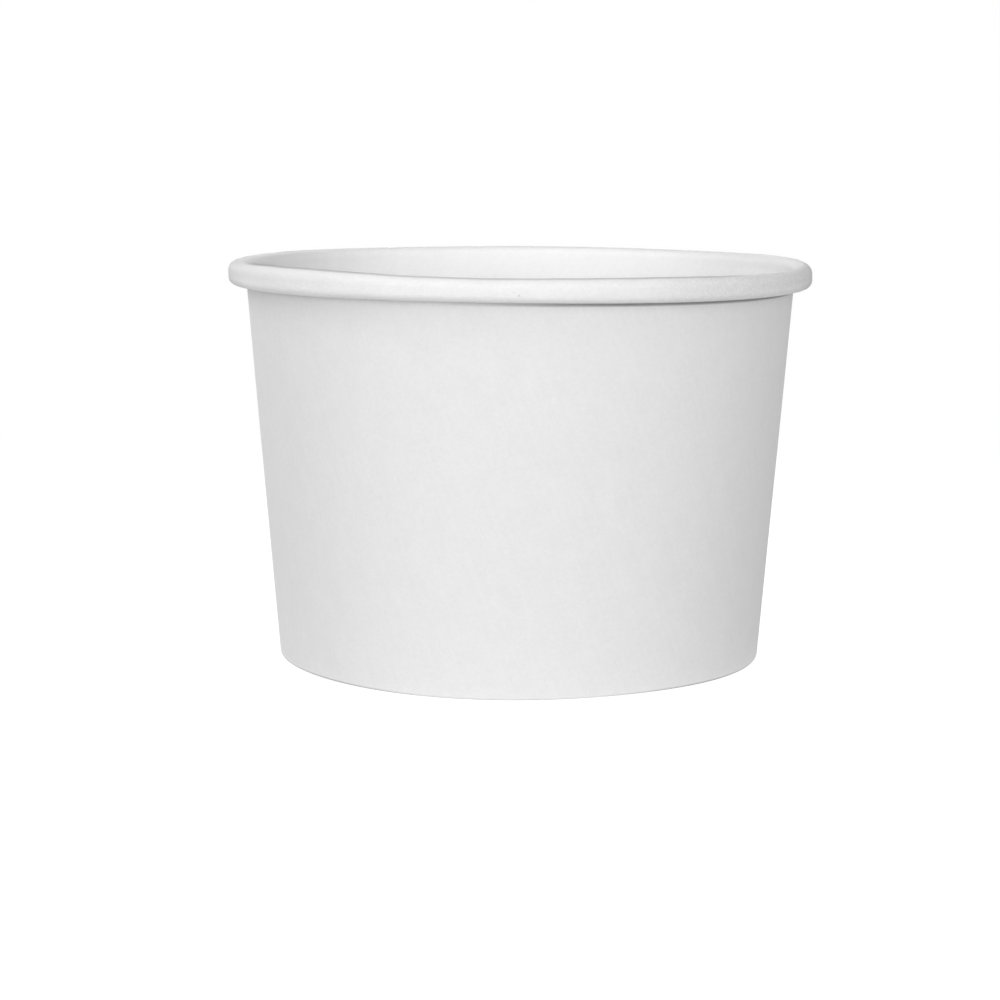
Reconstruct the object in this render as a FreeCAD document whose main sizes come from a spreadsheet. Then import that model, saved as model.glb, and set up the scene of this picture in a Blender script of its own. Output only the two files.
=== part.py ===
import FreeCAD, Part
import math
import os
import Sketcher
from FreeCAD import Placement, Rotation, Vector

# Paper sundae cup: a rolled and folded sidewall, sealed round a base disc with a turned-down skirt.
# Sizes are in millimetres. The origin is the centre of the cup's foot, on the table, and +Z is the cup's axis.

# Driving dimensions
SIZES = {
    "rim_diameter": 90.0,    # across the rolled rim
    "base_diameter": 75.0,   # across the foot of the wall, at the table
    "cup_height": 61.0,      # from the table to the top of the rim
    "board": 0.35,           # thickness of the paperboard
    "roll_overhang": 2.5,    # how far the rim stands out past the wall's outer face
    "roll_height": 3.5,      # from the top of the rim to its underside
    "roll_slit": 0.1,        # free space between the tucked-in edge and the lapped wall
    "roll_tuck": 0.8,        # straight end of the paper, turned up inside the roll
    "fold_height": 5.5,      # from the table to the top of the folded-in edge
    "base_recess": 6.5,      # from the table to the underside of the base
    "skirt_bend": 0.8,       # inner radius where the base turns down into its skirt
    "seal_film": 0.02,       # melted coating between two sealed papers
    "seam_lap": 6.0,         # width of the double layer at the foot of the side seam
    "seam_ramp": 3.0,        # stretch in which the outer layer climbs over the inner one
    "seam_place": 121.0,     # where the seam's inner edge lies round the cup, in degrees from +X
}

# Sizes that follow from the driving ones
TAPER = ("atan((Sizes.rim_diameter / 2 - Sizes.roll_overhang - Sizes.base_diameter / 2)"
         " / Sizes.cup_height)")
POCKET = "(Sizes.board + 2 * Sizes.seal_film)"
TUCK_GAP = "(2 * Sizes.board + Sizes.roll_slit)"
LAP_ANGLE = "(Sizes.seam_lap / Sizes.base_diameter * 360 / pi)"
RAMP_ANGLE = "(Sizes.seam_ramp / Sizes.base_diameter * 360 / pi)"

# Directions from the middle of a bend to the faces that it joins: wall, top, front, underside and tuck
TO_WALL = f"(180deg - {TAPER})"
TO_TOP = "90deg"
TO_FRONT = "0deg"
TO_UNDERSIDE = "(0deg - 90deg)"
TO_TUCK = f"(0deg - 180deg - {TAPER})"
TO_SKIRT = f"(0deg - {TAPER})"

# The two ways along the wall
UP_THE_WALL = f"(90deg - {TAPER})"
DOWN_THE_WALL = f"(0deg - 90deg - {TAPER})"

# Equal turns that bend the board through a quarter of the roll, or down into the skirt
ROLL_TURNS = 2
SKIRT_TURNS = 3

# A sketch counts the two ends of a line from 1, and has its own origin and axes
START, END = range(1, 3)
ORIGIN = -1
ACROSS_AXIS, UP_AXIS = -1, -2


def foot_radius(distance):
    """Radius at the table of a line beside the wall, at a distance outside the wall's inner face."""
    return f"Sizes.base_diameter / 2 + ({distance} - Sizes.board) / cos({TAPER})"


def turning(directions, turns):
    """The way through the given directions, with as many equal turns between each and the next."""
    way = []
    for first, last in zip(directions, directions[1:]):
        way += [f"({first} + ({last} - {first}) * {turn} / {turns})" for turn in range(turns)]
    return way + directions[-1:]


def corner(centre, radius, first, second):
    """Where two facets meet that touch a circle in two directions from its centre, in degrees."""
    middle = math.radians((first + second) / 2)
    reach = radius / math.cos(math.radians((first - second) / 2))
    return centre + Vector(reach * math.cos(middle), reach * math.sin(middle), 0)


class Drawing:
    """A sketch of the cup's upright section: across is the radius, up is the height."""

    def __init__(self, sketch):
        self.sketch = sketch

    def value(self, expression):
        result = self.sketch.evalExpression(expression)
        return getattr(result, "Value", result)

    def beside_wall(self, distance, height):
        """The point at a height on the line that runs beside the wall at a distance."""
        lean = math.tan(math.radians(self.value(TAPER)))
        return Vector(self.value(foot_radius(distance)) + height * lean, height, 0)

    def line(self, start, end):
        return self.sketch.addGeometry(Part.LineSegment(start, end))

    def fix(self, kind, *where):
        return self.sketch.addConstraint(Sketcher.Constraint(kind, *where))

    def drive(self, name, expression, kind, *where):
        """Adds a dimension that follows an expression of the sizes."""
        value = self.value(expression)
        if kind == "Angle":
            value = math.radians(value)
        self.sketch.renameConstraint(self.fix(kind, *where, value), name)
        self.sketch.setExpression("Constraints." + name, expression)

    def lean(self, name, line, distance, going="up"):
        """Lets a line run up or down beside the wall's inner face, at a distance outside it."""
        foot = self.sketch.addGeometry(Part.Point(self.beside_wall(distance, 0)), True)
        self.fix("PointOnObject", foot, START, ACROSS_AXIS)
        self.fix("PointOnObject", foot, START, line)
        self.drive(name + "_foot", foot_radius(distance), "DistanceX", ORIGIN, START, foot, START)
        direction = UP_THE_WALL if going == "up" else DOWN_THE_WALL
        self.drive(name + "_lean", direction, "Angle", line)

    def bend(self, name, centre, radius, directions):
        """A bend of the board, drawn as flat facets that touch its circle in the given directions.

        The first and the last direction belong to the two lines that the bend joins. The facets are those
        between them.
        """
        circle = self.sketch.addGeometry(Part.Circle(centre, Vector(0, 0, 1), radius), True)
        angles = [self.value(direction) for direction in directions]
        corners = [corner(centre, radius, *pair) for pair in zip(angles, angles[1:])]
        facets = [self.line(*ends) for ends in zip(corners, corners[1:])]
        for number, (facet, direction) in enumerate(zip(facets, directions[1:])):
            self.fix("Tangent", facet, circle)
            self.drive(f"{name}_{number}", f"{direction} - 90deg", "Angle", facet)
        for facet, following in zip(facets, facets[1:]):
            self.fix("Coincident", facet, END, following, START)
        return circle, facets

    def join(self, before, facets, after, circle):
        """Joins a bend's facets to the two lines that it lies between."""
        self.fix("Coincident", before, END, facets[0], START)
        self.fix("Coincident", facets[-1], END, after, START)
        self.fix("Tangent", before, circle)
        self.fix("Tangent", after, circle)


def fill_sheet(doc):
    sheet = doc.addObject("Spreadsheet::Sheet", "Sizes")
    for row, (name, value) in enumerate(SIZES.items(), start=1):
        sheet.set(f"A{row}", name)
        sheet.set(f"B{row}", str(value))
        sheet.setAlias(f"B{row}", name)
    doc.recompute()


def paper_line(doc, name, turn, lift):
    """The paper's inner face in one half-plane through the axis.

    It runs down the folded-in leg, along the fold's floor, up the wall, over the top of the rolled rim,
    down its front, back under it and up inside. lift moves it outwards, from the wall's own paper to the
    layer that laps over it.
    """
    sketch = doc.addObject("Sketcher::SketchObject", name)
    sketch.Placement = Placement(Vector(0, 0, 0), Rotation(Vector(1, 0, 0), 90))
    sketch.setExpression("Placement.Rotation.Yaw", turn)
    draw = Drawing(sketch)

    leg_distance = f"(0 - {POCKET} - {lift})"
    wall_distance = f"({lift})"
    tuck_distance = f"({TUCK_GAP} + {lift})"
    floor_height = "Sizes.board"
    front_radius = f"Sizes.rim_diameter / 2 - {lift}"
    top_height = f"Sizes.cup_height - {lift}"
    under_height = f"Sizes.cup_height - Sizes.roll_height + {lift}"

    floor_up = draw.value(floor_height)
    front = draw.value(front_radius)
    top = draw.value(top_height)
    under = draw.value(under_height)
    top_to_wall = (front - draw.beside_wall(wall_distance, top).x) / 2
    under_to_wall = (front - draw.beside_wall(tuck_distance, under).x) / 2
    top_centre = Vector(front - top_to_wall, top - top_to_wall, 0)
    under_centre = Vector(front - under_to_wall, under + under_to_wall, 0)
    wall_foot = draw.beside_wall(wall_distance, floor_up)
    leg_foot = draw.beside_wall(leg_distance, floor_up)
    tuck_foot = draw.beside_wall(tuck_distance, under_centre.y)
    tuck_end = draw.beside_wall(tuck_distance, under_centre.y + draw.value("Sizes.roll_tuck"))
    over_the_top = turning([TO_WALL, TO_TOP, TO_FRONT], ROLL_TURNS)
    back_under = turning([TO_FRONT, TO_UNDERSIDE, TO_TUCK], ROLL_TURNS)

    leg = draw.line(leg_foot, draw.beside_wall(leg_distance, draw.value("Sizes.fold_height")))
    floor = draw.line(leg_foot, wall_foot)
    wall = draw.line(wall_foot, draw.beside_wall(wall_distance, top_centre.y))
    top_circle, top_facets = draw.bend("over_the_top", top_centre, top_to_wall, over_the_top)
    roll_front = draw.line(Vector(front, top_centre.y, 0), Vector(front, under_centre.y, 0))
    under_circle, under_facets = draw.bend("back_under", under_centre, under_to_wall, back_under)
    tuck = draw.line(tuck_foot, tuck_end)

    draw.fix("Coincident", leg, START, floor, START)
    draw.fix("Coincident", floor, END, wall, START)
    draw.join(wall, top_facets, roll_front, top_circle)
    draw.join(roll_front, under_facets, tuck, under_circle)
    draw.fix("Horizontal", floor)
    draw.fix("Vertical", roll_front)

    draw.lean("leg", leg, leg_distance)
    draw.lean("wall", wall, wall_distance)
    draw.lean("tuck", tuck, tuck_distance)
    level_facet = ROLL_TURNS - 1
    draw.drive("leg_top", "Sizes.fold_height", "DistanceY", ORIGIN, START, leg, END)
    draw.drive("floor_up", floor_height, "DistanceY", ORIGIN, START, floor, START)
    draw.drive("front", front_radius, "DistanceX", ORIGIN, START, roll_front, START)
    draw.drive("top", top_height, "DistanceY", ORIGIN, START, top_facets[level_facet], START)
    draw.drive("under", under_height, "DistanceY", ORIGIN, START, under_facets[level_facet], START)
    draw.drive("tuck_length", "Sizes.roll_tuck", "Distance", tuck)
    return sketch


def paper_section(doc, name, line):
    """One thickness of board laid on the outer side of a paper line."""
    section = doc.addObject("Part::Offset2D", name)
    section.Source = line
    section.Mode = "Skin"
    section.Join = "Intersection"
    section.Fill = True
    section.setExpression("Value", "Sizes.board")
    return section


def turned_paper(doc, name, section, angle):
    """Paper that follows its section round the cup's axis through an angle."""
    paper = doc.addObject("Part::Revolution", name)
    paper.Source = section
    paper.Axis = Vector(0, 0, 1)
    paper.Base = Vector(0, 0, 0)
    paper.Solid = True
    paper.setExpression("Angle", angle)
    return paper


def make_sidewall(doc):
    """The wrapped blank: once round the cup, then up over its own first edge and on in a lap."""
    first_line = paper_line(doc, "first_edge_line", "0", "0")
    climb_line = paper_line(doc, "climb_line", f"0 - {RAMP_ANGLE}", "0")
    lap_line = paper_line(doc, "lap_line", "0", "Sizes.board")
    first_section = paper_section(doc, "first_edge_section", first_line)
    climb_section = paper_section(doc, "climb_section", climb_line)
    lap_section = paper_section(doc, "lap_section", lap_line)

    round_the_cup = turned_paper(doc, "round_the_cup", first_section, f"360 - {RAMP_ANGLE}")
    lap = turned_paper(doc, "lap", lap_section, LAP_ANGLE)
    climb = doc.addObject("Part::Loft", "climb")
    climb.Sections = [climb_section, lap_section]
    climb.Solid = True
    climb.Ruled = True

    sidewall = doc.addObject("Part::MultiFuse", "Sidewall")
    sidewall.Shapes = [round_the_cup, climb, lap]
    sidewall.Refine = True
    sidewall.Label = "sidewall"
    sidewall.Placement = Placement(Vector(0, 0, 0), Rotation(Vector(0, 0, 1), 0))
    sidewall.setExpression("Placement.Rotation.Yaw", "Sizes.seam_place")
    return sidewall


def origin_plane(body, role):
    for feature in body.Origin.OriginFeatures:
        if feature.Role == role:
            return feature
    raise RuntimeError(f"{body.Label} has no {role}")


def make_base_disc(doc):
    """A flat disc with its edge turned down into a skirt, which stands in the pocket of the fold."""
    body = doc.addObject("PartDesign::Body", "BaseDisc")
    body.Label = "base_disc"
    sketch = body.newObject("Sketcher::SketchObject", "disc_section")
    sketch.AttachmentSupport = [(origin_plane(body, "XZ_Plane"), "")]
    sketch.MapMode = "FlatFace"
    doc.recompute()
    draw = Drawing(sketch)

    outer_distance = "(0 - Sizes.seal_film)"
    inner_distance = "(0 - Sizes.seal_film - Sizes.board)"
    skirt_end_height = "Sizes.board + Sizes.seal_film"
    top_height = "Sizes.base_recess + Sizes.board"

    underside = draw.value("Sizes.base_recess")
    top = draw.value(top_height)
    skirt_end = draw.value(skirt_end_height)
    inner_radius = draw.value("Sizes.skirt_bend")
    outer_radius = draw.value("Sizes.skirt_bend + Sizes.board")
    bend_up = underside - inner_radius
    outer_bend_end = draw.beside_wall(outer_distance, bend_up)
    inner_bend_end = draw.beside_wall(inner_distance, bend_up)
    bend_centre = inner_bend_end - Vector(inner_radius, 0, 0)
    down_into_skirt = turning([TO_TOP, TO_SKIRT], SKIRT_TURNS)

    disc_top = draw.line(Vector(0, top, 0), Vector(bend_centre.x, top, 0))
    outer_circle, outer_facets = draw.bend("outer_bend", bend_centre, outer_radius, down_into_skirt)
    skirt_outside = draw.line(outer_bend_end, draw.beside_wall(outer_distance, skirt_end))
    skirt_edge = draw.line(
        draw.beside_wall(outer_distance, skirt_end), draw.beside_wall(inner_distance, skirt_end)
    )
    disc_underside = draw.line(Vector(0, underside, 0), Vector(bend_centre.x, underside, 0))
    inner_circle, inner_facets = draw.bend("inner_bend", bend_centre, inner_radius, down_into_skirt)
    skirt_inside = draw.line(inner_bend_end, draw.beside_wall(inner_distance, skirt_end))
    axis_edge = draw.line(Vector(0, underside, 0), Vector(0, top, 0))

    draw.join(disc_top, outer_facets, skirt_outside, outer_circle)
    draw.join(disc_underside, inner_facets, skirt_inside, inner_circle)
    draw.fix("Coincident", skirt_outside, END, skirt_edge, START)
    draw.fix("Coincident", skirt_edge, END, skirt_inside, END)
    draw.fix("Coincident", disc_underside, START, axis_edge, START)
    draw.fix("Coincident", axis_edge, END, disc_top, START)
    draw.fix("Horizontal", disc_top)
    draw.fix("Horizontal", skirt_edge)
    draw.fix("Horizontal", disc_underside)
    draw.fix("Vertical", axis_edge)
    draw.fix("PointOnObject", axis_edge, START, UP_AXIS)

    draw.lean("outside", skirt_outside, outer_distance, going="down")
    draw.lean("inside", skirt_inside, inner_distance, going="down")
    draw.drive("underside_up", "Sizes.base_recess", "DistanceY", ORIGIN, START, axis_edge, START)
    draw.drive("top_up", top_height, "DistanceY", ORIGIN, START, axis_edge, END)
    draw.drive("skirt_end_up", skirt_end_height, "DistanceY", ORIGIN, START, skirt_edge, START)
    draw.drive("inner_bend", "Sizes.skirt_bend", "Radius", inner_circle)
    draw.drive("outer_bend", "Sizes.skirt_bend + Sizes.board", "Radius", outer_circle)
    doc.recompute()

    turned = body.newObject("PartDesign::Revolution", "turned_disc")
    turned.Profile = sketch
    turned.ReferenceAxis = (sketch, ["V_Axis"])
    turned.Angle = 360
    body.Tip = turned
    return body


def check(doc, pieces):
    """Stops unless every object came out whole and every piece is one valid solid."""
    for item in doc.Objects:
        if "Invalid" in item.State or "Error" in item.State:
            raise RuntimeError(f"{item.Label} didn't come out: {item.State}")
    for piece in pieces:
        if piece.Shape.isNull() or not piece.Shape.isValid() or len(piece.Shape.Solids) != 1:
            raise RuntimeError(f"{piece.Label} isn't one valid solid")


def main():
    doc = FreeCAD.newDocument("sundae_cup")
    fill_sheet(doc)
    pieces = [make_sidewall(doc), make_base_disc(doc)]
    doc.recompute()
    check(doc, pieces)
    os.makedirs("parts", exist_ok=True)
    for piece in pieces:
        piece.Shape.exportStep(f"parts/{piece.Label}.step")
        box = piece.Shape.BoundBox
        print(f"{piece.Label}: {piece.Shape.Volume:.1f} mm3, z {box.ZMin:.3f} to {box.ZMax:.3f}")


main()
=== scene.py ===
import math

import bpy
from bpy.props import FloatProperty, FloatVectorProperty, IntProperty, PointerProperty
from mathutils import Euler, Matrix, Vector, noise


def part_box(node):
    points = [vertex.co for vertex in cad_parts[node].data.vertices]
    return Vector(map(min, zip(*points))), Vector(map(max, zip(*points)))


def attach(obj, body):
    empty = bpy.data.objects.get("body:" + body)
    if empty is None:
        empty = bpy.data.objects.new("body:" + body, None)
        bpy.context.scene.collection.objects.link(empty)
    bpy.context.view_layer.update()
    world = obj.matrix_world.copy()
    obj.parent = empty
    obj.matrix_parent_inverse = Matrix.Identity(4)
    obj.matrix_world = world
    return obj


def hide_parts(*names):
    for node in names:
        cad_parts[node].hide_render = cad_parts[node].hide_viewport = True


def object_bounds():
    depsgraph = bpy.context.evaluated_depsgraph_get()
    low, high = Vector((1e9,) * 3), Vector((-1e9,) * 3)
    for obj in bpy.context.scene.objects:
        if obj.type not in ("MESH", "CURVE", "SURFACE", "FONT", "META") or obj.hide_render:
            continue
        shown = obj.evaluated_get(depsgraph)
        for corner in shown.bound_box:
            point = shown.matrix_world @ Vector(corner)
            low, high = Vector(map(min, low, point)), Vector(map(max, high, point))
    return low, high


bl_info = {
    "name": "Paper sundae cup",
    "version": (1, 0, 0),
    "blender": (4, 5, 0),
    "location": "View3D > Sidebar > Cup",
    "description": "Rolled and folded paperboard cup around its packed construction, on a white table",
    "category": "Add Mesh",
}

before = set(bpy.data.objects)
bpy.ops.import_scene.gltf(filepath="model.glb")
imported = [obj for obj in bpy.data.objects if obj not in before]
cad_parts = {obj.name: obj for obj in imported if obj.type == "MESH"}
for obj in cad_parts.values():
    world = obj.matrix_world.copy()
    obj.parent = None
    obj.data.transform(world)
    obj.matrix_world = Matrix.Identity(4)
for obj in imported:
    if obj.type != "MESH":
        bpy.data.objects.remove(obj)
CAD_BOX = [list(corner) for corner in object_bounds()]
WALL_LOW, WALL_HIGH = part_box("sidewall")
_, DISC_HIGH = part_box("base_disc")

MM = 0.001
BOARD = 0.35 * MM

# Free space between the two layers of the seam, and the lift of its inner layer in the floor of the fold
LAP_CLEARANCE = 0.01 * MM
FOLD_STEP = 0.03 * MM

# Steps of the mesh along each stretch of the sidewall's and the base's paper
LEG_STEPS = 3
CREASE_STEPS = 4
WALL_STEPS = 14
ROLL_TOP_STEPS = 18
ROLL_FRONT_STEPS = 2
ROLL_UNDER_STEPS = 16
TUCK_STEPS = 2
BASE_STEPS = 12
SKIRT_BEND_STEPS = 10
SKIRT_STEPS = 4

# Faces that meet at a larger angle keep a sharp edge between them
SHARP_ANGLE = math.radians(50.0)

# Slow waves of the rim, the foot and the height of the roll: waves in a turn, then height along +X and +Y
RIM_WAVES = (
    (2, -0.01 * MM, 0.04 * MM),
    (3, 0.02 * MM, 0.05 * MM),
    (4, 0.03 * MM, 0.0 * MM),
)
FOOT_WAVES = (
    (1, -0.03 * MM, 0.01 * MM),
    (2, 0.02 * MM, 0.01 * MM),
    (3, -0.03 * MM, 0.0 * MM),
    (4, -0.04 * MM, 0.08 * MM),
)
ROLL_WAVES = (
    (1, -0.05 * MM, 0.01 * MM),
    (2, 0.04 * MM, 0.12 * MM),
    (3, 0.03 * MM, -0.04 * MM),
    (4, -0.06 * MM, 0.07 * MM),
    (5, 0.08 * MM, 0.05 * MM),
)

# Heights, as shares of the cup's, between which the rim's waves begin and below which the foot's end
RIM_ZONE = (0.6, 0.95)
FOOT_ZONE = 0.3

# Short ripples of the roll: how many to the cup's radius, and the height of one
RIPPLES = 9.0
RIPPLE_HEIGHT = 4.0 * MM

# Grain of the board, in repeats to a metre: clouds, mottle, fine grain, and fibres across and along the board
CLOUD_SCALE = 260.0
MOTTLE_SCALE = 1700.0
GRAIN_SCALE = 5200.0
FIBRE_SCALE = (1300.0, 70.0, 0.0)

# How much clouds and fibres add to the tone, where mottle and grain add 1; how much the tone roughens the
# board; how much of its relief is fine grain, and how deep the relief is
CLOUD_SHARE = 0.7
FIBRE_SHARE = 0.6
TONE_ROUGHNESS = 0.05
GRAIN_RELIEF = 0.5
RELIEF_DEPTH = 0.03 * MM

# How quickly the finer repeats of a cloudy value weaken
NOISE_ROUGHNESS = 0.6

# Wrinkles and dents of the roll: repeats to a metre, values between which a wrinkle rises, and their depths
WRINKLE_SCALE = (800.0, 2400.0, 0.0)
WRINKLE_RISE = (0.08, 0.16)
WRINKLE_DEPTH = 3.0
DENT_SCALE = 2600.0
DENT_DEPTH = 8.0

# How far before its crest the roll's wrinkles begin and are whole, in thicknesses of board
ROLL_BEGINS = (4.0, 2.0)

# How much light paper bends and throws back
PAPER_IOR = 1.45
PAPER_SPECULAR = 0.35

# Specks in the front of the roll: place along +X, height and radius, and the tone that they cost
SPECKS = ((-0.82 * MM, 59.4 * MM, 0.11 * MM), (-0.13 * MM, 59.0 * MM, 0.14 * MM))
SPECK_LOSS = 0.25

# Painted shade in the crevice under the roll: how far it reaches down, how much tone it costs, and where
# along +X it sets in
CREVICE_DEPTH = 0.68 * MM
CREVICE_PAINTED_SHADE = 0.55
CREVICE_ZONE = (-14.0 * MM, 16.0 * MM)

# Slow painted shade below the roll and painted light above the foot on the wall, each with its reach
SHELTER_PAINTED_SHADE, SHELTER_REACH = 0.03, 9.0 * MM
FOOT_PAINTED_LIGHT, FOOT_REACH = 0.02, 22.0 * MM

# The roll: its share of tone lost, and the height and gain of the painted light on its underside
ROLL_LOSS = 0.02
UNDERSIDE_HEIGHT = 0.6 * MM
UNDERSIDE_PAINTED_LIGHT = 0.1

# Where along +X the roll has painted shade and marks of handling, and how much its dents stand out there
HANDLED_AND_SHADED_ZONE = (14.0 * MM, 28.0 * MM)
RIGHT_SHADE_LOSS = 0.05
SCUFF = 0.3

# The thin film of the coated face, tinted to paint shade where the roll is seen at a low angle: the shares
# of the roll's height between which it sets in, and how much it bends light, which is hardly, so that it
# shows no gloss of its own
SHADE_FILM_ZONE = (0.25, 0.5)
SHADE_FILM_IOR = 1.005

# The crest of the roll, under a heavier tinted film that paints a dark line of shade where it is seen
# edge-on:
# its depth, the film's share, where along +X it begins and ends, and the share left at the back
CREST_DEPTH = 0.28 * MM
CREST_SHADE_FILM = 0.9
CREST_START = (-44.0 * MM, -38.0 * MM)
CREST_END = (24.0 * MM, 40.0 * MM)
CREST_BEHIND = 0.45

# Distances to the side between which the tinted film, painted shade, also covers the roll's underside
BEAD_END = (39.0 * MM, 44.0 * MM)

# Where along +Y the far side begins and is whole
BEHIND_ZONE = (-20.0 * MM, 6.0 * MM)

# Painted shade left and right on the far inside wall, the ends where it fades, and painted light all inside
ENDS_ZONE = (39.0 * MM, 47.0 * MM)
LEFT_ZONE = (20.0 * MM, 41.0 * MM)
LEFT_PAINTED_SHADE = 0.13
RIGHT_ZONE = (22.0 * MM, 38.0 * MM)
RIGHT_PAINTED_SHADE = 0.08
INNER_PAINTED_LIGHT = 0.05

# Painted shade on the edge of the foot: its height, the distances to the side between which it sets in, its
# loss, and the painted light on the edge in front
FOOT_SHADE = (0.36 * MM, 0.46 * MM)
FOOT_SHADE_ZONE = (10.0 * MM, 30.0 * MM)
FOOT_SHADE_LOSS = 0.45
FOOT_FRONT_PAINTED_LIGHT = 0.05

# Which face of the board a mesh face belongs to; the numbers are its material slots
COATED_FACE, BARE_FACE, CUT_FACE = range(3)


def length(name, description, default):
    return FloatProperty(name=name, description=description, default=default, unit="LENGTH", precision=5)


def share(name, description, default):
    return FloatProperty(name=name, description=description, default=default, min=0.0, max=1.0)


def colour(name, description, default):
    return FloatVectorProperty(name=name, description=description, default=default, subtype="COLOR", size=3)


class CupShape(bpy.types.PropertyGroup):
    """The sizes of the cup: those of its construction, but with rounder creases and a thin seam edge."""

    rim_diameter: length("Rim", "Across the rolled rim", round(WALL_HIGH.x - WALL_LOW.x, 4))
    base_diameter: length("Foot", "Across the foot of the wall, at the table", 75.0 * MM)
    cup_height: length("Height", "From the table to the top of the rim", WALL_HIGH.z)
    board: length("Board", "Thickness of the paperboard", BOARD)
    roll_overhang: length("Overhang", "How far the rim stands out past the wall", 2.5 * MM)
    roll_height: length("Roll height", "From the top of the rim to its underside", 3.5 * MM)
    roll_slit: length("Slit", "Free space between the tucked-in edge and the lapped wall", 0.1 * MM)
    roll_tuck: length("Tuck", "Straight end of the paper inside the roll", 0.8 * MM)
    fold_height: length("Fold", "From the table to the top of the folded-in edge", 5.5 * MM)
    fold_crease: length("Crease", "Inner radius of the two creases of the fold", 0.1 * MM)
    base_recess: length("Recess", "From the table to the underside of the base", DISC_HIGH.z - BOARD)
    skirt_bend: length("Skirt bend", "Inner radius where the base turns down", 0.8 * MM)
    seal_film: length("Seal", "Melted coating between two sealed papers", 0.02 * MM)
    seam_lap: length("Lap", "Width of the double layer of the side seam", 6.0 * MM)
    seam_ramp: length("Climb", "Stretch in which the lap climbs over the first edge", 3.0 * MM)
    edge_share: share("Pressed edge", "Thickness left at the edge that the seam covers, of the board's", 0.22)
    edge_width: length("Pressed width", "How far in that edge is pressed", 2.0 * MM)
    seam_place: FloatProperty(
        name="Seam", description="Where the seam's inner edge lies round the cup, from +X",
        default=math.radians(121.0), subtype="ANGLE",
    )
    columns: IntProperty(name="Columns", description="Steps of the mesh round the cup", default=720)


class CupUnevenness(bpy.types.PropertyGroup):
    """How the real cup departs from a true round."""

    rise_to_right: FloatProperty(
        name="Rise to the right", description="Slope of the rim along +X", default=-0.00434,
    )
    rise_to_back: FloatProperty(
        name="Rise to the back", description="Slope of the rim along +Y", default=0.00034,
    )
    rim_lift: length("Rim lift", "How far the rim stands above its true height", 0.3 * MM)
    foot_lift: length("Foot lift", "Mean height of the foot's waves above the table", 0.12 * MM)
    roll_lift: length("Roll lift", "How much higher the roll is than its true height, on average", 0.09 * MM)
    roll_ripple: length("Roll ripple", "Depth of the short ripples of the roll", 0.04 * MM)
    disc_bow: length("Base bow", "How far the base bows down in its middle", 0.15 * MM)


class CupFinish(bpy.types.PropertyGroup):
    """The look of the paperboard."""

    coated_colour: colour("Coated face", "Colour of the board's inner, coated face", (0.90, 0.90, 0.90))
    bare_colour: colour("Bare face", "Colour of the board's outer face", (0.84, 0.84, 0.84))
    cut_colour: colour("Cut edge", "Colour of the board's cut edges", (0.80, 0.80, 0.79))
    coated_roughness: share("Coated roughness", "Roughness of the coated face", 0.55)
    bare_roughness: share("Bare roughness", "Roughness of the bare face", 0.85)
    cut_roughness: share("Cut roughness", "Roughness of the cut edges", 0.95)
    coated_relief: share("Coated relief", "Depth of the coated face's grain", 0.36)
    bare_relief: share("Bare relief", "Depth of the bare face's grain", 0.4)
    mottle: share("Mottle", "Strength of the cloudy tone of the board", 0.075)
    # The film is tinted, so that it paints shade where the coated face is seen at a low angle
    shade_film: share("Shade film", "How much of the coated face its thin film covers", 0.35)
    shade_film_tint: share("Shade film tint", "Share of light that the film lets through, seen straight on", 0.86)


class CupStage(bpy.types.PropertyGroup):
    """The camera, the table and the light."""

    focal_length: FloatProperty(name="Lens", description="Focal length in millimetres", default=95.25)
    ambient: FloatProperty(name="Ambient", description="Strength of the light from all round", default=0.396)
    table_light: FloatProperty(
        name="Table light", description="Strength of the light that the table throws back", default=0.36,
    )


def settings():
    """The cup's sizes, its unevenness and its finish."""
    scene = bpy.context.scene
    return scene.cup_shape, scene.cup_unevenness, scene.cup_finish


# The paper's course in the cup's upright section

class PaperPath:
    """One face of the board in the upright section. The board's other face is on the path's right."""

    def __init__(self, start, heading):
        self.heading = heading
        self.points = [Vector(start)]
        self.sides = [self.right()]

    def forward(self):
        return Vector((math.cos(self.heading), math.sin(self.heading)))

    def right(self):
        return Vector((math.sin(self.heading), -math.cos(self.heading)))

    def straight(self, distance, steps):
        start = self.points[-1]
        for step in range(1, steps + 1):
            self.points.append(start + self.forward() * distance * step / steps)
            self.sides.append(self.right())

    def bend(self, radius, turn, steps):
        """Turns left by an angle, or right where it is negative, at the path's own radius."""
        way = math.copysign(1.0, turn)
        centre = self.points[-1] - self.right() * radius * way
        for _ in range(steps):
            self.heading += turn / steps
            self.points.append(centre + self.right() * radius * way)
            self.sides.append(self.right())


class WallLine:
    """Lines beside the wall in the upright section."""

    def __init__(self, shape):
        self.shape = shape
        widening = shape.rim_diameter / 2 - shape.roll_overhang - shape.base_diameter / 2
        self.lean = math.atan(widening / shape.cup_height)

    def radius(self, distance, height):
        """Radius of the line that runs beside the wall, at a distance outside its inner face."""
        foot = self.shape.base_diameter / 2 + (distance - self.shape.board) / math.cos(self.lean)
        return foot + height * math.tan(self.lean)


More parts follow.
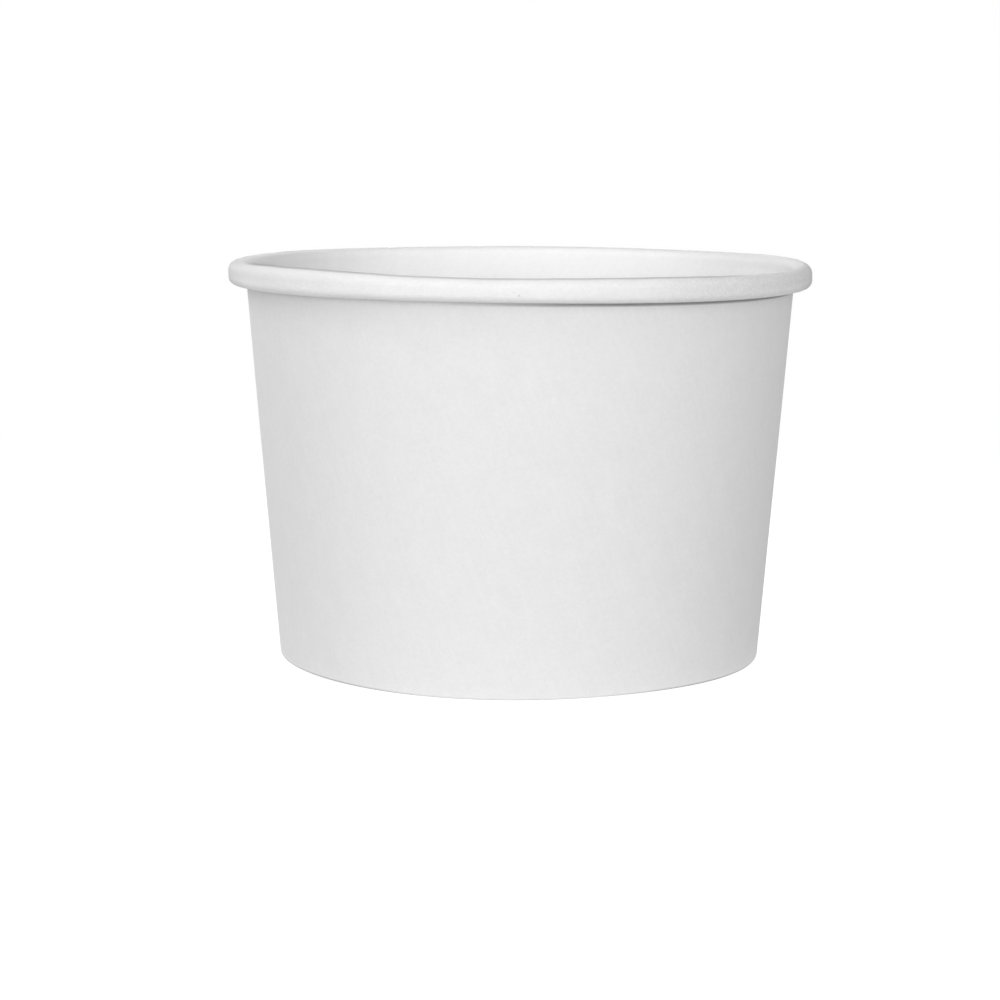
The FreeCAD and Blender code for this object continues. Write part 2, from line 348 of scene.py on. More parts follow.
def sidewall_path(shape, lift, step):
    """The board's inner face: down the folded-in leg, up the wall, over the rim and up inside its roll.

    lift moves it outwards, from the wall's own paper to the layer that laps over it, and step raises the
    floor of the fold where both layers lie in it.
    """
    wall = WallLine(shape)
    slant = wall.lean
    crease = shape.fold_crease
    leg_distance = -(shape.board + 2 * shape.seal_film) - lift
    tuck_distance = 2 * shape.board + shape.roll_slit + lift
    front = shape.rim_diameter / 2 - lift
    top = shape.cup_height - lift
    under = shape.cup_height - shape.roll_height + lift
    floor = shape.board + step

    top_room = (front - wall.radius(lift, top)) * math.cos(slant)
    top_radius = top_room / (1 + math.cos(slant) - math.sin(slant))
    under_room = (front - wall.radius(tuck_distance, under)) * math.cos(slant)
    under_radius = under_room / (1 + math.cos(slant) + math.sin(slant))

    # Both creases shorten the lines that meet in them by their radius times the half angle's tangent
    leg_corner = crease * math.tan((math.pi / 2 + slant) / 2)
    wall_corner = crease * math.tan((math.pi / 2 - slant) / 2)
    leg_foot = wall.radius(leg_distance, floor)
    wall_foot = wall.radius(lift, floor)
    leg_length = (shape.fold_height - floor) / math.cos(slant)
    wall_end = top - top_radius + top_radius * math.sin(slant)
    wall_length = (wall_end - floor) / math.cos(slant)

    path = PaperPath((wall.radius(leg_distance, shape.fold_height), shape.fold_height), -math.pi / 2 - slant)
    path.straight(leg_length - leg_corner, LEG_STEPS)
    path.bend(crease, math.pi / 2 + slant, CREASE_STEPS)
    path.straight(wall_foot - leg_foot - leg_corner - wall_corner, 1)
    path.bend(crease, math.pi / 2 - slant, CREASE_STEPS)
    path.straight(wall_length - wall_corner, WALL_STEPS)
    path.bend(top_radius, -math.pi + slant, ROLL_TOP_STEPS)
    path.straight(top - top_radius - under - under_radius, ROLL_FRONT_STEPS)
    path.bend(under_radius, -math.pi - slant, ROLL_UNDER_STEPS)
    path.straight(shape.roll_tuck, TUCK_STEPS)
    return path


def way_to_crest(path):
    """Distance along the path to its highest point."""
    crest = max(range(len(path.points)), key=lambda number: path.points[number].y)
    return sum((path.points[n + 1] - path.points[n]).length for n in range(crest))


def base_path(shape):
    """The base's upper face, from its middle out, then down the outside of the skirt."""
    wall = WallLine(shape)
    top = shape.base_recess + shape.board
    outer_radius = shape.skirt_bend + shape.board
    bend_up = shape.base_recess - shape.skirt_bend
    skirt_line = wall.radius(-shape.seal_film - shape.board, bend_up)
    centre = skirt_line - shape.skirt_bend / math.cos(wall.lean)
    skirt_low = shape.board + shape.fold_crease
    skirt_length = (bend_up - outer_radius * math.sin(wall.lean) - skirt_low) / math.cos(wall.lean)

    path = PaperPath((centre / BASE_STEPS, top), 0.0)
    path.straight(centre - centre / BASE_STEPS, BASE_STEPS - 1)
    path.bend(outer_radius, -math.pi / 2 - wall.lean, SKIRT_BEND_STEPS)
    path.straight(skirt_length, SKIRT_STEPS)
    return path


# How the cup departs from a true round

def smooth_step(low, high, value):
    t = min(max((value - low) / (high - low), 0.0), 1.0)
    return t * t * (3 - 2 * t)


def wave_height(waves, angle):
    """Height of a set of slow waves at an angle round the cup."""
    return sum(
        along * math.cos(count * angle) + across * math.sin(count * angle) for count, along, across in waves
    )


def uneven(place, shape, unevenness):
    """Where a point of the true cup lies on the real one."""
    angle = math.atan2(place.y, place.x)
    share_up = place.z / shape.cup_height
    tilt = unevenness.rise_to_right * place.x + unevenness.rise_to_back * place.y
    rim_rise = unevenness.rim_lift + tilt + wave_height(RIM_WAVES, angle)
    foot_rise = unevenness.foot_lift + wave_height(FOOT_WAVES, angle)
    roll_rise = unevenness.roll_lift + wave_height(ROLL_WAVES, angle)
    up_roll = place.z - (shape.cup_height - shape.roll_height)
    ripple_at = Vector((RIPPLES * math.cos(angle), RIPPLES * math.sin(angle), place.z / RIPPLE_HEIGHT))
    ripple = unevenness.roll_ripple * smooth_step(0.0, shape.board, up_roll) * noise.noise(ripple_at)
    higher = smooth_step(*RIM_ZONE, share_up) * rim_rise
    higher += smooth_step(0.0, shape.roll_height, up_roll) * roll_rise
    higher += (1 - smooth_step(0.0, FOOT_ZONE, share_up)) * foot_rise
    widen = 1 + ripple / math.hypot(place.x, place.y)
    return Vector((place.x * widen, place.y * widen, place.z + higher + ripple))


# The meshes

def sheet_mesh(columns, closed):
    """A thin solid sheet from columns of (place, other side, place in the sheet), with all its edges."""
    count = len(columns)
    rows = len(columns[0])
    verts = [row[side] for column in columns for side in (0, 1) for row in column]
    sheet_places = [row[2] for column in columns for _ in (0, 1) for row in column]

    def index(column, side, row):
        return (column % count * 2 + side) * rows + row

    faces = []
    kinds = []
    for column in range(count if closed else count - 1):
        after = column + 1
        for row in range(rows - 1):
            faces.append((index(column, 0, row), index(column, 0, row + 1),
                          index(after, 0, row + 1), index(after, 0, row)))
            faces.append((index(column, 1, row), index(after, 1, row),
                          index(after, 1, row + 1), index(column, 1, row + 1)))
            kinds += [COATED_FACE, BARE_FACE]
        first, last = 0, rows - 1
        faces.append((index(column, 0, first), index(after, 0, first),
                      index(after, 1, first), index(column, 1, first)))
        faces.append((index(column, 0, last), index(column, 1, last),
                      index(after, 1, last), index(after, 0, last)))
        kinds += [CUT_FACE, CUT_FACE]
    if not closed:
        for row in range(rows - 1):
            end = count - 1
            faces.append((index(0, 0, row), index(0, 1, row), index(0, 1, row + 1), index(0, 0, row + 1)))
            faces.append((index(end, 0, row), index(end, 0, row + 1),
                          index(end, 1, row + 1), index(end, 1, row)))
            kinds += [CUT_FACE, CUT_FACE]
    return verts, faces, kinds, sheet_places


def link_piece(name, verts, faces, kinds, sheet_places, materials):
    mesh = bpy.data.meshes.new(name)
    mesh.from_pydata(verts, [], faces)
    mesh.validate()
    for material in materials:
        mesh.materials.append(material)
    mesh.polygons.foreach_set("material_index", kinds)
    place = mesh.attributes.new("sheet_place", "FLOAT_VECTOR", "POINT")
    place.data.foreach_set("vector", [value for vector in sheet_places for value in vector])
    mesh.shade_smooth()
    mesh.set_sharp_from_angle(angle=SHARP_ANGLE)
    piece = bpy.data.objects.new(name, mesh)
    bpy.context.scene.collection.objects.link(piece)
    return piece


def column_of(path, angle, board, place):
    """One column of the sheet: the path's points and their other side, turned to an angle."""
    column = []
    travelled = 0.0
    around = Vector((math.cos(angle), math.sin(angle), 0))
    before = path.points[0]
    for point, side in zip(path.points, path.sides):
        travelled += (point - before).length
        before = point
        other = point + side * board
        inner_place = around * point.x + Vector((0, 0, point.y))
        outer_place = around * other.x + Vector((0, 0, other.y))
        column.append((place(inner_place), place(outer_place), Vector((angle * point.x, travelled, point.y))))
    return column


def make_sidewall():
    shape, unevenness, _ = settings()
    turn = 2 * math.pi
    foot_radius = shape.base_diameter / 2
    lap = shape.seam_lap / foot_radius
    ramp = shape.seam_ramp / foot_radius
    pressed = shape.edge_width / foot_radius
    edge = shape.edge_share * shape.board

    def thickness(angle):
        """The board's own, but thinner at the pressed edge that the seam covers."""
        return edge + (shape.board - edge) * smooth_step(0.0, pressed, angle)

    def lift(angle):
        """How far the board climbs to lap over that edge."""
        onto = (edge + LAP_CLEARANCE) * smooth_step(turn - ramp, turn, angle)
        return onto + (shape.board - edge) * smooth_step(0.0, pressed, angle - turn)

    count = math.ceil((turn + lap) / turn * shape.columns)
    columns = []
    for number in range(count + 1):
        angle = (turn + lap) * number / count
        step = FOLD_STEP * (1 - smooth_step(lap, lap + ramp, angle))
        columns.append(column_of(
            sidewall_path(shape, lift(angle), step), shape.seam_place + angle, thickness(angle),
            lambda place: uneven(place, shape, unevenness),
        ))
    mesh = sheet_mesh(columns, closed=False)
    piece = link_piece("sidewall_board", *mesh, board_materials("cup_board", rim_wear_and_painted_light(), wall_shade()))
    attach(piece, "root")
    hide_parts("sidewall")


def make_base():
    shape, unevenness, _ = settings()
    path = base_path(shape)
    steps = shape.columns // 2
    wide = path.points[-1].x

    def bowed(place):
        place = uneven(place, shape, unevenness)
        share_out = math.hypot(place.x, place.y) / wide
        place.z -= unevenness.disc_bow * max(0.0, 1 - share_out ** 2) ** 2
        return place

    columns = [
        column_of(path, 2 * math.pi * number / steps, shape.board, bowed) for number in range(steps)
    ]
    verts, faces, kinds, sheet_places = sheet_mesh(columns, closed=True)
    hub_faces, hub_kinds = close_middle(verts, sheet_places, columns, faces, kinds)
    piece = link_piece("base_board", verts, hub_faces, hub_kinds, sheet_places, board_materials("base_board"))
    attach(piece, "root")
    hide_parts("base_disc")


def close_middle(verts, sheet_places, columns, faces, kinds):
    """Replaces the small cut ring in the middle of the base by a fan on each side."""
    rows = len(columns[0])
    count = len(columns)
    ring = {column * 2 * rows + side * rows for column in range(count) for side in (0, 1)}
    remaining = [(face, kind) for face, kind in zip(faces, kinds) if not set(face) <= ring]
    for side in (0, 1):
        height = sum(columns[column][0][side].z for column in range(count)) / count
        verts.append(Vector((0, 0, height)))
        sheet_places.append(Vector((0, 0, 0)))
        hub = len(verts) - 1
        for column in range(count):
            first = (column * 2 + side) * rows
            second = ((column + 1) % count * 2 + side) * rows
            fan = (hub, first, second) if side == 0 else (hub, second, first)
            remaining.append((fan, BARE_FACE if side else COATED_FACE))
    return [face for face, _ in remaining], [kind for _, kind in remaining]


# The finish of the paperboard, with its painted light and shade

PAPER_WHITE = (0.9, 0.9, 0.9, 1.0)
SHADE_INPUTS = [("Colour", "NodeSocketColor", PAPER_WHITE), ("Height", "NodeSocketFloat", 0.0)]
SHADE_OUTPUTS = [("Colour", "NodeSocketColor"), ("Height", "NodeSocketFloat")]


def new_group(name, inputs, outputs):
    """A shader node group with its sockets, and the two nodes that they are read and written by."""
    group = bpy.data.node_groups.new(name, "ShaderNodeTree")
    for socket, kind, default in inputs:
        made = group.interface.new_socket(name=socket, in_out="INPUT", socket_type=kind)
        made.default_value = default
    for socket, kind in outputs:
        group.interface.new_socket(name=socket, in_out="OUTPUT", socket_type=kind)
    entry = group.nodes.new("NodeGroupInput")
    leave = group.nodes.new("NodeGroupOutput")
    return group, entry, leave


def add(tree, kind, **values):
    """A node with its settings and the values of its unlinked sockets."""
    node = tree.nodes.new(kind)
    for name, value in values.items():
        if hasattr(node, name):
            setattr(node, name, value)
        else:
            node.inputs[name].default_value = value
    return node


def join(tree, value, slot):
    """Sets an input to a number, or links another node's output to it."""
    if isinstance(value, bpy.types.NodeSocket):
        tree.links.new(value, slot)
    else:
        slot.default_value = value


def compute(tree, operation, *values):
    """The result of a maths node on sockets and numbers."""
    node = add(tree, "ShaderNodeMath", operation=operation)
    for value, slot in zip(values, node.inputs):
        join(tree, value, slot)
    return node.outputs[0]


def compute_vector(tree, operation, *values):
    node = add(tree, "ShaderNodeVectorMath", operation=operation)
    slots = [slot for slot in node.inputs if slot.enabled]
    for value, slot in zip(values, slots):
        join(tree, value, slot)
    return node.outputs["Value" if operation == "LENGTH" else "Vector"]


def rise(tree, value, start, end):
    """0 up to the start, 1 from the end on, and smooth between."""
    node = add(tree, "ShaderNodeMapRange", interpolation_type="SMOOTHSTEP")
    tree.links.new(value, node.inputs["Value"])
    node.inputs["From Min"].default_value = start
    node.inputs["From Max"].default_value = end
    return node.outputs["Result"]


def noise_layer(tree, vector, scale, detail):
    """A cloudy value round 0."""
    layer = add(tree, "ShaderNodeTexNoise", Scale=scale, Detail=detail, Roughness=NOISE_ROUGHNESS)
    tree.links.new(vector, layer.inputs["Vector"])
    return compute(tree, "SUBTRACT", layer.outputs["Fac"], 0.5)


def object_place(tree):
    return add(tree, "ShaderNodeTexCoord").outputs["Object"]


def sheet_place(tree):
    """Place in the flat board: distance round the cup, distance along the section and true height."""
    return add(tree, "ShaderNodeAttribute", attribute_name="sheet_place").outputs["Vector"]


def group_once(name, inputs, outputs, fill):
    """The node group of that name, filled the first time that it is asked for."""
    if name not in bpy.data.node_groups:
        fill(*new_group(name, inputs, outputs))
    return bpy.data.node_groups[name]


def board_grain():
    """The tone, roughness and relief of white paperboard: clouds, mottle, fine grain and upright fibres."""

    def fill(group, entry, leave):
        place = object_place(group)
        cloud = noise_layer(group, place, CLOUD_SCALE, 2.0)
        mottle = noise_layer(group, place, MOTTLE_SCALE, 2.0)
        grain = noise_layer(group, place, GRAIN_SCALE, 1.0)
        stretched = compute_vector(group, "MULTIPLY", sheet_place(group), FIBRE_SCALE)
        fibres = noise_layer(group, stretched, 1.0, 2.0)
        tone = compute(group, "MULTIPLY_ADD", cloud, CLOUD_SHARE, grain)
        tone = compute(group, "ADD", mottle, tone)
        tone = compute(group, "MULTIPLY_ADD", fibres, FIBRE_SHARE, tone)
        strength = compute(group, "MULTIPLY_ADD", tone, entry.outputs["Mottle"], 1.0)
        shade = compute_vector(group, "SCALE", entry.outputs["Colour"], strength)
        rough = compute(group, "MULTIPLY_ADD", tone, TONE_ROUGHNESS, entry.outputs["Roughness"])
        relief = compute(group, "MULTIPLY_ADD", grain, GRAIN_RELIEF, mottle)
        group.links.new(shade, leave.inputs["Colour"])
        group.links.new(rough, leave.inputs["Roughness"])
        group.links.new(relief, leave.inputs["Height"])

    inputs = [
        ("Colour", "NodeSocketColor", PAPER_WHITE),
        ("Roughness", "NodeSocketFloat", 0.8),
        ("Mottle", "NodeSocketFloat", 0.05),
    ]
    outputs = [("Colour", "NodeSocketColor"), ("Roughness", "NodeSocketFloat"), ("Height", "NodeSocketFloat")]
    return group_once("board_grain", inputs, outputs, fill)


def split_axes(tree, vector):
    node = add(tree, "ShaderNodeSeparateXYZ")
    tree.links.new(vector, node.inputs[0])
    return node.outputs


def kept(tree, mask, loss):
    """The share of tone left where a mask takes a loss."""
    return compute(tree, "SUBTRACT", 1.0, compute(tree, "MULTIPLY", mask, loss))


def where_not(tree, mask):
    """1 where a mask is 0, and 0 where it is 1."""
    return compute(tree, "SUBTRACT", 1.0, mask)


def both(tree, first, second):
    """The part that two masks share."""
    return compute(tree, "MULTIPLY", first, second)


def shaded(tree, tone, *losses):
    """A tone after each pair of a mask and the share of tone that it takes, or adds where it is negative."""
    for mask, loss in losses:
        tone = compute(tree, "MULTIPLY", tone, kept(tree, mask, loss))
    return tone


def wrinkled(tree, sheet, dents):
    """The relief of the roll: short wrinkles that run round the cup, and dents."""
    stretched = compute_vector(tree, "MULTIPLY", sheet, WRINKLE_SCALE)
    wrinkles = rise(tree, noise_layer(tree, stretched, 1.0, 2.0), *WRINKLE_RISE)
    deep_wrinkles = compute(tree, "MULTIPLY", wrinkles, WRINKLE_DEPTH)
    return compute(tree, "MULTIPLY_ADD", dents, DENT_DEPTH, deep_wrinkles)


def specks(tree, place, behind):
    """1 in the small specks in the front of the roll."""
    clear = 1.0
    flat = compute_vector(tree, "MULTIPLY", place, (1.0, 0.0, 1.0))
    for at_x, at_z, radius in SPECKS:
        away = compute_vector(tree, "LENGTH", compute_vector(tree, "SUBTRACT", flat, (at_x, 0.0, at_z)))
        clear = compute(tree, "MINIMUM", clear, rise(tree, away, radius / 2, radius))
    return where_not(tree, compute(tree, "MAXIMUM", clear, behind))


def crest_shade_film(tree, shape, height, along, behind):
    """The heavier tinted film on the top of the roll, painted shade along its crest, in front and less at the
    back.
    """
    top = rise(tree, height, shape.cup_height - CREST_DEPTH, shape.cup_height - CREST_DEPTH / 2)
    stretch = compute(tree, "SUBTRACT", rise(tree, along, *CREST_START), rise(tree, along, *CREST_END))
    crest = both(tree, both(tree, top, stretch), kept(tree, behind, 1 - CREST_BEHIND))
    return compute(tree, "MULTIPLY", crest, CREST_SHADE_FILM)


def rim_wear_and_painted_light():
    """The coated face: wrinkles and specks on the roll, marks of handling with painted shade on its right
    side, a painted lighter underside, painted shade left and right on the far wall and painted light on all
    the inside.

    Film is the share of the face that its tinted film covers, which paints shade where it is seen at a low
    angle.
    """
    shape, _, finish = settings()
    under = shape.cup_height - shape.roll_height
    to_crest = way_to_crest(sidewall_path(shape, 0.0, 0.0))
    roll_begins = [to_crest - boards * shape.board for boards in ROLL_BEGINS]
    shade_film_begins = [under + share_up * shape.roll_height for share_up in SHADE_FILM_ZONE]

    def fill(group, entry, leave):
        sheet = sheet_place(group)
        place = object_place(group)
        travelled = split_axes(group, sheet)["Y"]
        height = split_axes(group, sheet)["Z"]
        along = split_axes(group, place)["X"]
        sideways = compute(group, "ABSOLUTE", along)
        leftward = compute(group, "MULTIPLY", along, -1.0)
        behind = rise(group, split_axes(group, place)["Y"], *BEHIND_ZONE)
        on_roll = rise(group, travelled, *roll_begins)
        outside = rise(group, travelled, to_crest - shape.board, to_crest)
        dents = noise_layer(group, place, DENT_SCALE, 2.0)

        upper = rise(group, height, *shade_film_begins)
        shade_filmed = compute(group, "MAXIMUM", upper, rise(group, sideways, *BEAD_END))
        even_shade_film = compute(group, "MULTIPLY", shade_filmed, finish.shade_film)
        shade_film = compute(group, "MAXIMUM", even_shade_film, crest_shade_film(group, shape, height, along, behind))

        # Painted shade on the right of the roll, where its dents, marks of handling, also stand out
        handled_and_shaded = both(group, rise(group, along, *HANDLED_AND_SHADED_ZONE), on_roll)
        # Painted light on the roll's outer underside
        low = where_not(group, rise(group, height, under, under + UNDERSIDE_HEIGHT))
        far_wall = both(group, where_not(group, on_roll), behind)
        far_wall = both(group, far_wall, where_not(group, rise(group, sideways, *ENDS_ZONE)))
        scuffed = compute(group, "MULTIPLY_ADD", both(group, handled_and_shaded, dents), SCUFF, 1.0)
        # The tone is raised to make up for the tinted film seen straight on, so that the film paints shade
        # only at low angles
        through_shade_film = compute(group, "DIVIDE", scuffed, kept(group, even_shade_film, 1 - finish.shade_film_tint))
        tone = shaded(
            group, through_shade_film,
            (specks(group, place, behind), SPECK_LOSS),
            (on_roll, ROLL_LOSS),
            (handled_and_shaded, RIGHT_SHADE_LOSS),
            (both(group, low, outside), -UNDERSIDE_PAINTED_LIGHT),
            # Painted shade left and right on the far wall, then painted light on all the inside
            (both(group, far_wall, rise(group, leftward, *LEFT_ZONE)), LEFT_PAINTED_SHADE),
            (both(group, far_wall, rise(group, along, *RIGHT_ZONE)), RIGHT_PAINTED_SHADE),
            (where_not(group, outside), -INNER_PAINTED_LIGHT),
        )
        wrinkles = wrinkled(group, sheet, dents)
        relief = compute(group, "MULTIPLY_ADD", wrinkles, on_roll, entry.outputs["Height"])
        group.links.new(compute_vector(group, "SCALE", entry.outputs["Colour"], tone), leave.inputs["Colour"])
        group.links.new(relief, leave.inputs["Height"])
        group.links.new(shade_film, leave.inputs["Shade film"])

    return group_once("rim_wear_and_painted_light", SHADE_INPUTS, SHADE_OUTPUTS + [("Shade film", "NodeSocketFloat")], fill)


def wall_shade():
    """The bare face of the wall: painted shade in the crevice under the roll and at the foot's edge, and slow
    painted light and shade.
    """
    shape, _, _ = settings()
    under = shape.cup_height - shape.roll_height

    def fill(group, entry, leave):
        height = split_axes(group, sheet_place(group))["Z"]
        along = split_axes(group, object_place(group))["X"]
        # Painted shade in the crevice under the roll, deeper to the right
        in_shaded_crevice = rise(group, height, under - CREVICE_DEPTH, under - CREVICE_DEPTH / 2)
        # Painted shade on the foot's edge to the sides, and painted light on it in front
        at_foot = where_not(group, rise(group, height, *FOOT_SHADE))
        to_side = rise(group, compute(group, "ABSOLUTE", along), *FOOT_SHADE_ZONE)
        tone = shaded(
            group, 1.0,
            (both(group, in_shaded_crevice, rise(group, along, *CREVICE_ZONE)), CREVICE_PAINTED_SHADE),
            (both(group, at_foot, to_side), FOOT_SHADE_LOSS),
            (both(group, at_foot, where_not(group, to_side)), -FOOT_FRONT_PAINTED_LIGHT),
            # Slow painted shade below the roll, then painted light above the foot
            (rise(group, height, under - SHELTER_REACH, under), SHELTER_PAINTED_SHADE),
            (where_not(group, rise(group, height, 0.0, FOOT_REACH)), -FOOT_PAINTED_LIGHT),
        )
        group.links.new(compute_vector(group, "SCALE", entry.outputs["Colour"], tone), leave.inputs["Colour"])
        group.links.new(entry.outputs["Height"], leave.inputs["Height"])

    return group_once("wall_shade", SHADE_INPUTS, SHADE_OUTPUTS, fill)


def board_material(name, tone, roughness, relief, shade_film, wear_and_painted_light=None):
    """One face of the board. Its tinted film swallows more light where it is looked through at a low angle:
    painted shade.
    """
    _, _, finish = settings()
    material = bpy.data.materials.new(name)
    material.use_nodes = True
    material.diffuse_color = (*tone, 1.0)
    tree = material.node_tree
    shader = tree.nodes["Principled BSDF"]
    shader.inputs["IOR"].default_value = PAPER_IOR
    shader.inputs["Specular IOR Level"].default_value = PAPER_SPECULAR
    grain = add(tree, "ShaderNodeGroup", node_tree=board_grain())
    grain.inputs["Colour"].default_value = (*tone, 1.0)
    grain.inputs["Mottle"].default_value = finish.mottle
    grain.inputs["Roughness"].default_value = roughness
    # The tinted coat is the film that paints shade where the face is seen at a low angle
    shader.inputs["Coat Weight"].default_value = shade_film
    shader.inputs["Coat Roughness"].default_value = 1.0
    shader.inputs["Coat IOR"].default_value = SHADE_FILM_IOR
    shader.inputs["Coat Tint"].default_value = (*[finish.shade_film_tint] * 3, 1.0)
    last = grain
    if wear_and_painted_light:
        last = add(tree, "ShaderNodeGroup", node_tree=wear_and_painted_light)
        tree.links.new(grain.outputs["Colour"], last.inputs["Colour"])
        tree.links.new(grain.outputs["Height"], last.inputs["Height"])
    bump = add(tree, "ShaderNodeBump", Strength=relief, Distance=RELIEF_DEPTH)
    tree.links.new(last.outputs["Colour"], shader.inputs["Base Color"])
    if "Shade film" in last.outputs:
        tree.links.new(last.outputs["Shade film"], shader.inputs["Coat Weight"])
    tree.links.new(grain.outputs["Roughness"], shader.inputs["Roughness"])
    tree.links.new(last.outputs["Height"], bump.inputs["Height"])
    tree.links.new(bump.outputs["Normal"], shader.inputs["Normal"])
    return material


def board_materials(part, rim=None, wall=None):
    """The coated face, the bare face and the cut edge of one piece of board."""
    _, _, finish = settings()
    coated = (tuple(finish.coated_colour), finish.coated_roughness, finish.coated_relief, finish.shade_film)
    bare = (tuple(finish.bare_colour), finish.bare_roughness, finish.bare_relief, 0.0)
    cut = (tuple(finish.cut_colour), finish.cut_roughness, finish.bare_relief, 0.0)
    return [
        board_material(part + "_coated", *coated, rim),
        board_material(part + "_bare", *bare, wall),
        board_material(part + "_cut", *cut),
    ]


# The stage: camera, table and light

CAMERA_PLACE = Vector((0.0, -0.41096, 0.08415))
CAMERA_DOWN = math.radians(8.348)
CAMERA_TURN = math.radians(0.420)
CAMERA_ROLL = math.radians(0.163)

# Soft lights: their distance from the cup and their width, then the name, direction round the cup, height
# angle and power in watts of each
LIGHT_DISTANCE = 1.2
LIGHT_SIZE = 0.7
LIGHTS = (
    ("front_left_low", -120.0, 5.0, 5.4),
    ("front_right_low", -60.0, 5.0, 5.1),
    ("back", 90.0, 20.0, 2.6),
    ("back_left", 135.0, 20.0, 2.1),
    ("left_high", -150.0, 50.0, 1.6),
    ("front_right", -60.0, 25.0, 1.3),
    ("side_high", 180.0, 50.0, 1.1),
    ("front_left", -120.0, 25.0, 1.1),
)

# The table: its size and corners, its own glow to the camera, and the grey on which the shadow falls
TABLE_RADIUS = 4.0
TABLE_CORNERS = 96
TABLE_GLOW = 0.88
TABLE_GREY = (0.5, 0.5, 0.5, 1.0)

# Distances from the cup's axis at which its shadow on the table begins to fade and has gone
SHADOW_ZONE = (0.12, 0.30)

# The table throws back more light just in front of the foot: its reach from the axis, and how much more
BRIGHT_ZONE = (0.0385, 0.042)
BRIGHT_GAIN = 0.45


def make_camera(stage):
    data = bpy.data.cameras.new("camera")
    data.lens = stage.focal_length
    data.sensor_width = 36.0
    data.clip_start = 0.01
    camera = bpy.data.objects.new("camera", data)
    camera.location = CAMERA_PLACE
    level = Euler((math.pi / 2 - CAMERA_DOWN, 0.0, CAMERA_TURN)).to_matrix()
    camera.rotation_euler = (level @ Euler((0.0, 0.0, CAMERA_ROLL)).to_matrix()).to_euler()
    bpy.context.scene.collection.objects.link(camera)
    bpy.context.scene.camera = camera


def make_light(name, around, up, power):
    data = bpy.data.lights.new(name, "AREA")
    data.shape = "DISK"
    data.size = LIGHT_SIZE
    data.energy = power
    light = bpy.data.objects.new(name, data)
    around, up = math.radians(around), math.radians(up)
    direction = Vector((math.cos(around) * math.cos(up), math.sin(around) * math.cos(up), math.sin(up)))
    aim = Vector((0, 0, CAD_BOX[1][2] / 2))
    light.location = aim + direction * LIGHT_DISTANCE
    light.rotation_euler = direction.to_track_quat("Z", "Y").to_euler()
    bpy.context.scene.collection.objects.link(light)


def seen_rays(tree):
    """1 for rays that show a surface to the camera, straight or by way of gloss or glass, and 0 for light."""
    path = add(tree, "ShaderNodeLightPath")
    gloss = compute(tree, "MAXIMUM", path.outputs["Is Camera Ray"], path.outputs["Is Glossy Ray"])
    return compute(tree, "MAXIMUM", gloss, path.outputs["Is Transmission Ray"])


def mix_shaders(tree, share_second, first, second):
    """The first shader where the share is 0, and the second where it is 1."""
    node = add(tree, "ShaderNodeMixShader")
    for value, slot in zip((share_second, first, second), node.inputs):
        tree.links.new(value, slot)
    return node.outputs[0]


def make_world(stage):
    world = bpy.data.worlds.new("studio")
    world.use_nodes = True
    tree = world.node_tree
    light = tree.nodes["Background"]
    light.inputs["Color"].default_value = (1.0, 1.0, 1.0, 1.0)
    light.inputs["Strength"].default_value = stage.ambient
    white = add(tree, "ShaderNodeBackground", Color=(1.0, 1.0, 1.0, 1.0), Strength=1.0)
    background = mix_shaders(tree, seen_rays(tree), light.outputs[0], white.outputs[0])
    tree.links.new(background, tree.nodes["World Output"].inputs["Surface"])
    bpy.context.scene.world = world


def table_material(stage):
    """White to the camera, with the cup's soft shadow kept, a pale bounce to the cup, and clear from below.

    The shadow is kept near the cup, and fades into plain white where the light no longer reaches the table.
    """
    material = bpy.data.materials.new("table_white")
    material.use_nodes = True
    tree = material.node_tree
    tree.nodes.remove(tree.nodes["Principled BSDF"])
    away = compute_vector(tree, "LENGTH", object_place(tree))
    at_foot = where_not(tree, rise(tree, away, *BRIGHT_ZONE))
    bounce_strength = compute(tree, "MULTIPLY", kept(tree, at_foot, -BRIGHT_GAIN), stage.table_light)
    bounce = add(tree, "ShaderNodeEmission")
    tree.links.new(bounce_strength, bounce.inputs["Strength"])
    glow = add(tree, "ShaderNodeEmission", Strength=TABLE_GLOW)
    shadow = add(tree, "ShaderNodeBsdfDiffuse", Color=TABLE_GREY)
    near = add(tree, "ShaderNodeAddShader")
    tree.links.new(glow.outputs[0], near.inputs[0])
    tree.links.new(shadow.outputs[0], near.inputs[1])
    white = add(tree, "ShaderNodeEmission", Strength=1.0)
    seen = mix_shaders(tree, rise(tree, away, *SHADOW_ZONE), near.outputs[0], white.outputs[0])
    from_above = mix_shaders(tree, seen_rays(tree), bounce.outputs[0], seen)
    clear = add(tree, "ShaderNodeBsdfTransparent")
    from_below = add(tree, "ShaderNodeNewGeometry").outputs["Backfacing"]
    surface = mix_shaders(tree, from_below, from_above, clear.outputs[0])
    tree.links.new(surface, tree.nodes["Material Output"].inputs["Surface"])
    return material


def make_table(stage):
    angles = [2 * math.pi * number / TABLE_CORNERS for number in range(TABLE_CORNERS)]
    verts = [Vector((math.cos(angle), math.sin(angle), 0)) * TABLE_RADIUS for angle in angles]
    mesh = bpy.data.meshes.new("table_top")
    mesh.from_pydata(verts, [], [tuple(range(TABLE_CORNERS))])
    mesh.materials.append(table_material(stage))
    table = bpy.data.objects.new("table_top", mesh)
    bpy.context.scene.collection.objects.link(table)


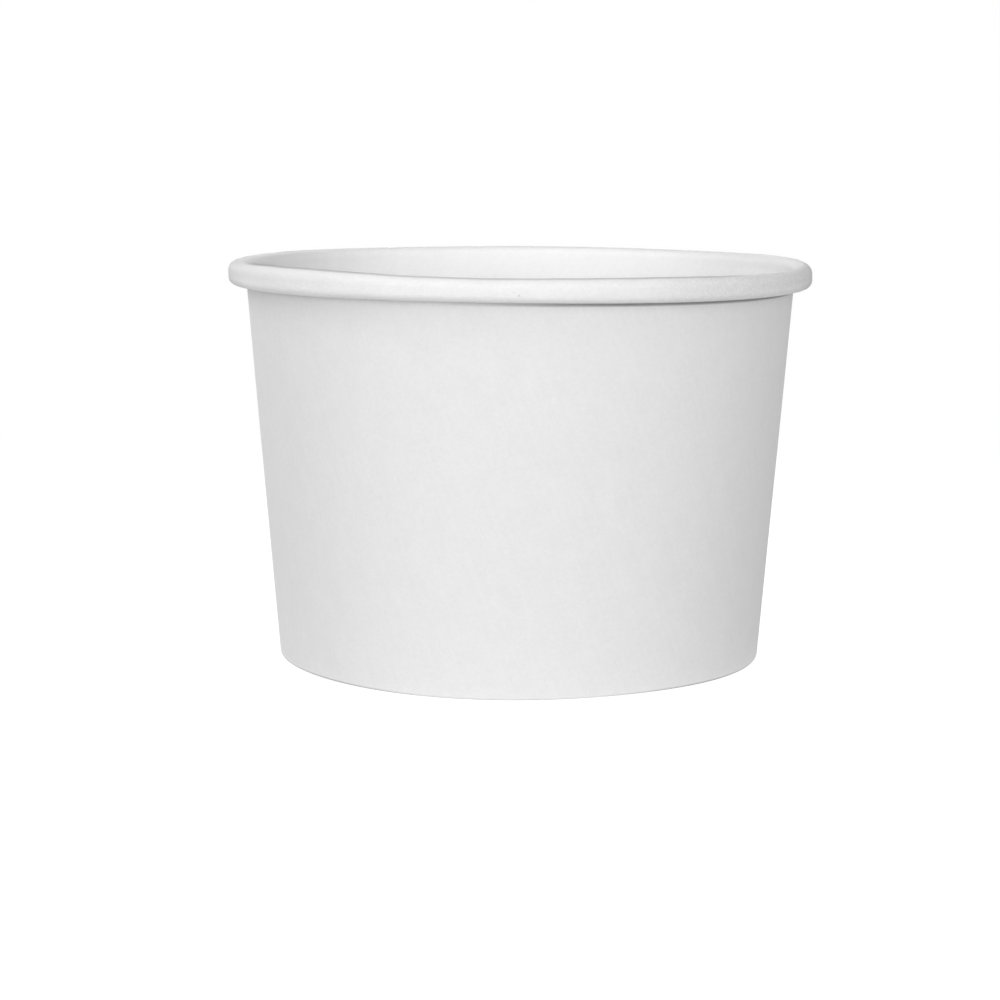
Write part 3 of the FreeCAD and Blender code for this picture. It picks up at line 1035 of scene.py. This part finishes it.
class CUP_OT_sidewall(bpy.types.Operator):
    """Makes the sidewall: one board, rolled at the rim, lapped at the side and folded at the foot"""

    bl_idname = "cup.sidewall"
    bl_label = "Make the sidewall"

    def execute(self, context):
        make_sidewall()
        return {"FINISHED"}


class CUP_OT_base(bpy.types.Operator):
    """Makes the base: a disc with its edge turned down into a skirt"""

    bl_idname = "cup.base"
    bl_label = "Make the base"

    def execute(self, context):
        make_base()
        return {"FINISHED"}


class CUP_OT_stage(bpy.types.Operator):
    """Sets the camera, the white table and the soft light"""

    bl_idname = "cup.stage"
    bl_label = "Set the stage"

    def execute(self, context):
        stage = context.scene.cup_stage
        context.scene.view_settings.view_transform = "Standard"
        make_camera(stage)
        make_world(stage)
        make_table(stage)
        for light in LIGHTS:
            make_light(*light)
        return {"FINISHED"}


class CUP_PT_panel(bpy.types.Panel):
    """Lists what the cup is made of"""

    bl_idname = "CUP_PT_panel"
    bl_label = "Paper sundae cup"
    bl_space_type = "VIEW_3D"
    bl_region_type = "UI"
    bl_category = "Cup"

    def draw(self, context):
        scene = context.scene
        for operator in OPERATORS:
            self.layout.operator(operator.bl_idname)
        for group in (scene.cup_shape, scene.cup_unevenness, scene.cup_finish, scene.cup_stage):
            box = self.layout.box()
            for name in group.__annotations__:
                box.prop(group, name)


OPERATORS = (CUP_OT_sidewall, CUP_OT_base, CUP_OT_stage)
GROUPS = {
    "cup_shape": CupShape,
    "cup_unevenness": CupUnevenness,
    "cup_finish": CupFinish,
    "cup_stage": CupStage,
}


def register():
    for made in (*GROUPS.values(), *OPERATORS, CUP_PT_panel):
        bpy.utils.register_class(made)
    for name, group in GROUPS.items():
        setattr(bpy.types.Scene, name, PointerProperty(type=group))


def unregister():
    for name in GROUPS:
        delattr(bpy.types.Scene, name)
    for made in reversed((*GROUPS.values(), *OPERATORS, CUP_PT_panel)):
        bpy.utils.unregister_class(made)


def main():
    register()
    bpy.ops.cup.sidewall()
    bpy.ops.cup.base()
    bpy.ops.cup.stage()


if __name__ == "__main__":
    main()
